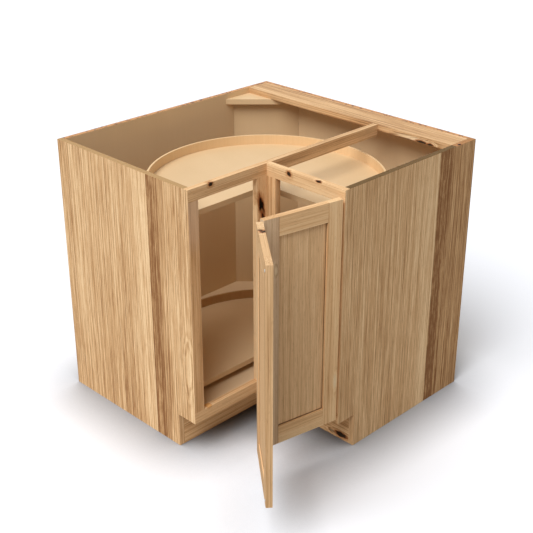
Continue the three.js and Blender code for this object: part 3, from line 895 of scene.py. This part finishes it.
ZINC = ((0.3, (176, 178, 182)), (0.7, (200, 201, 203)))
ZINC_CLOUDS = (60, 3)                          # scale and detail
ZINC_ROUGHNESS = (0.22, 0.25)                  # the least, and what a cloud adds
ZINC_BUMP = (900, 0.08, 0.0002)                # scale, strength and distance
PLASTIC_CLOUDS = (120, 2)
PLASTIC_ROUGHER = 0.1                          # what a cloud adds to its roughness
PLASTIC_BUMP = (1400, 0.1, 0.0001)
PLASTIC_SPREAD = (0.35, 0.7)                   # where the clouds take its two colours
PLASTIC_DROP = 8                               # the second one is darker by this
# Colour and least roughness
NYLON = ((230, 227, 220), 0.45)
RUBBER = ((207, 210, 210), 0.6)


def cloudy(name, clouds, stops, roughness, bump):
    """A material whose colour and roughness follow soft clouds."""
    material, tree, surface = new_material(name)
    place = object_place(tree)
    scale, detail = clouds
    cloud = noise(tree, place, scale, detail=detail)
    least, added = roughness
    bump_scale, strength, distance = bump
    tree.links.new(ramp(tree, cloud, stops), surface.inputs["Base Color"])
    tree.links.new(calc(tree, "MULTIPLY_ADD", cloud, added, least), surface.inputs["Roughness"])
    raise_bump(tree, surface, noise(tree, place, bump_scale), strength, distance)
    return material, surface


def zinc():
    material, surface = cloudy("zinc_plate", ZINC_CLOUDS, ZINC, ZINC_ROUGHNESS, ZINC_BUMP)
    surface.inputs["Metallic"].default_value = 1
    return material


def plain_plastic(name, colour, least):
    darker = tuple(value - PLASTIC_DROP for value in colour)
    stops = tuple(zip(PLASTIC_SPREAD, (colour, darker)))
    return cloudy(name, PLASTIC_CLOUDS, stops, (least, PLASTIC_ROUGHER), PLASTIC_BUMP)[0]


SCREW_SIDES = 32
SCREW_LENGTH = 0.013
SCREW_RADIUS = 0.0015
SCREW_HEAD_RADIUS = 0.0029
SCREW_HEAD_DEPTH = 0.0014
SCREW_EASE = 0.0001
SCREW_SHORT_EDGE = 0.0002                      # shorter edges stay sharp
RECESS_LENGTH = 0.0034
RECESS_WIDTH = 0.0008
RECESS_DEPTH = 0.0008
BUILD_SCALE = 100                              # a screw is cut at this size, then brought down
LOOKS_DOWN = -0.9                              # a face with its normal's z under this does


def box_at(centre, size):
    bpy.ops.mesh.primitive_cube_add(size=1, location=centre, scale=size)
    return bpy.context.object


def cut(piece, cutter):
    """Takes the cutter's shape out of a piece, and removes the cutter."""
    work_on(piece)
    modifier = piece.modifiers.new("recess", "BOOLEAN")
    modifier.operation = "DIFFERENCE"
    modifier.object = cutter
    bpy.ops.object.modifier_apply(modifier=modifier.name)
    bpy.data.objects.remove(cutter)


def make_screw():
    """A countersunk screw with a cross recess, its head's face at the origin and looking up."""
    deselect_all()
    size = BUILD_SCALE
    bpy.ops.mesh.primitive_cone_add(
        vertices=SCREW_SIDES, radius1=SCREW_RADIUS * size, radius2=SCREW_HEAD_RADIUS * size,
        depth=SCREW_HEAD_DEPTH * size, location=(0, 0, -SCREW_HEAD_DEPTH * size / 2))
    screw = bpy.context.object
    bpy.ops.object.transform_apply()
    edit(screw, "FACE")
    bpy.ops.mesh.select_all(action="DESELECT")
    done_editing()
    for face in screw.data.polygons:
        face.select = face.normal.z < LOOKS_DOWN
    edit(screw, "FACE")
    shank = (SCREW_LENGTH - SCREW_HEAD_DEPTH) * size
    bpy.ops.mesh.extrude_region_move(TRANSFORM_OT_translate={"value": (0, 0, -shank)})
    done_editing()

    long, wide, deep = RECESS_LENGTH * size, RECESS_WIDTH * size, 2 * RECESS_DEPTH * size
    slots = [box_at((0, 0, 0), (long, wide, deep)), box_at((0, 0, 0), (wide, long, deep))]
    for slot in slots:
        cut(screw, slot)
    work_on(screw)
    bpy.ops.transform.resize(value=(1 / size, 1 / size, 1 / size), center_override=(0, 0, 0))
    bpy.ops.object.transform_apply()
    ease_edges(screw, SCREW_EASE, 1, SCREW_SHORT_EDGE)
    smooth(screw)
    return screw


def place_screw(master, name, at, facing, material, body, *nodes):
    """A copy of the screw whose head is at a place and looks in a direction."""
    work_on(master)
    bpy.ops.object.duplicate()
    piece = bpy.context.object
    piece.location = at
    piece.rotation_euler = Vector(facing).to_track_quat("Z", "Y").to_euler()
    bpy.ops.object.transform_apply()
    return finish_piece(piece, name, material, body, "steel", *nodes)


SCREW_SPREAD = 0.02                            # a wing's two screws, up and down from its middle
HINGE_HEIGHTS = {"lower": 0.2184, "upper": 0.7722}
# The way that the heads of the carcass's screws look
BRACKET_FACING = {"left_bracket_screw": (-1, 0, 0), "right_bracket_screw": (0, 1, 0)}
HINGE_FACING = (0, -1, 0)
# Screws of the door's hinge wings, from the leaf's hinge line: place and the way their heads look
WING_SCREWS = {
    "door_wing": ("right_leaf", (-0.012, 0.0015), (0, 1)),
    "corner_right_wing": ("right_leaf", (-0.26655, -0.00735), (-1, 0)),
    "corner_left_wing": ("left_leaf", (-0.01015, -0.0017), (0, 1)),
}


def carcass_screws(master, steel):
    for node in frame["record"]["behaviour"]["bodies"]["carcass"]:
        if "screw" in node:
            low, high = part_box(node)
            facing = Vector(BRACKET_FACING.get(node, HINGE_FACING))
            head = (low + high) / 2 + facing * SCREW_LENGTH / 2
            place_screw(master, f"{node}_finished", head, facing, steel, "carcass", node)


def wing_screws(master, steel):
    for wing, (leaf, at, facing) in WING_SCREWS.items():
        turn = Matrix.Rotation(LEAVES[leaf].turn, 2)
        place = turn @ Vector(at) + Vector(LEAVES[leaf].hinge[:2])
        facing = (*(turn @ Vector(facing)), 0)
        for level, height in HINGE_HEIGHTS.items():
            for end, side in (("bottom", -1), ("top", 1)):
                name = f"{wing}_{level}_{end}_screw"
                head = (*place, height + side * SCREW_SPREAD)
                place_screw(master, name, head, facing, steel, leaf)


# Other fittings, by the first of these words that their node's name holds: what they are of, the
# length from which their edges are eased, and whether their flat sides are made whole
FITTINGS = {
    "hub": ("nylon", 0.001, True),
    "bearing": ("nylon", 0.001, True),
    "cap": ("nylon", 0.001, True),
    "bumper": ("rubber", 0.0005, True),
    "pole": ("steel", 0.001, True),
    "hinge": ("steel", 0.003, False),
}


def fittings():
    steel = zinc()
    master = make_screw()
    carcass_screws(master, steel)
    wing_screws(master, steel)
    bpy.data.objects.remove(master)
    finishes = {
        "steel": steel,
        "nylon": plain_plastic("nylon_white", *NYLON),
        "rubber": plain_plastic("rubber_grey", *RUBBER),
    }
    for body, nodes in frame["record"]["behaviour"]["bodies"].items():
        for node in nodes:
            kind = next((word for word in FITTINGS if word in node), None)
            if kind and "screw" not in node:
                finish, shortest, whole_faces = FITTINGS[kind]
                eased(node, finishes[finish], body, finish, METAL_EASE, shortest, whole_faces)


add_camera()
add_lamps()
add_sky()
add_floor()
face_frame()
rest_of_carcass()
trays()
door()
fittings()

bpy.context.scene.view_settings.view_transform = "Standard"
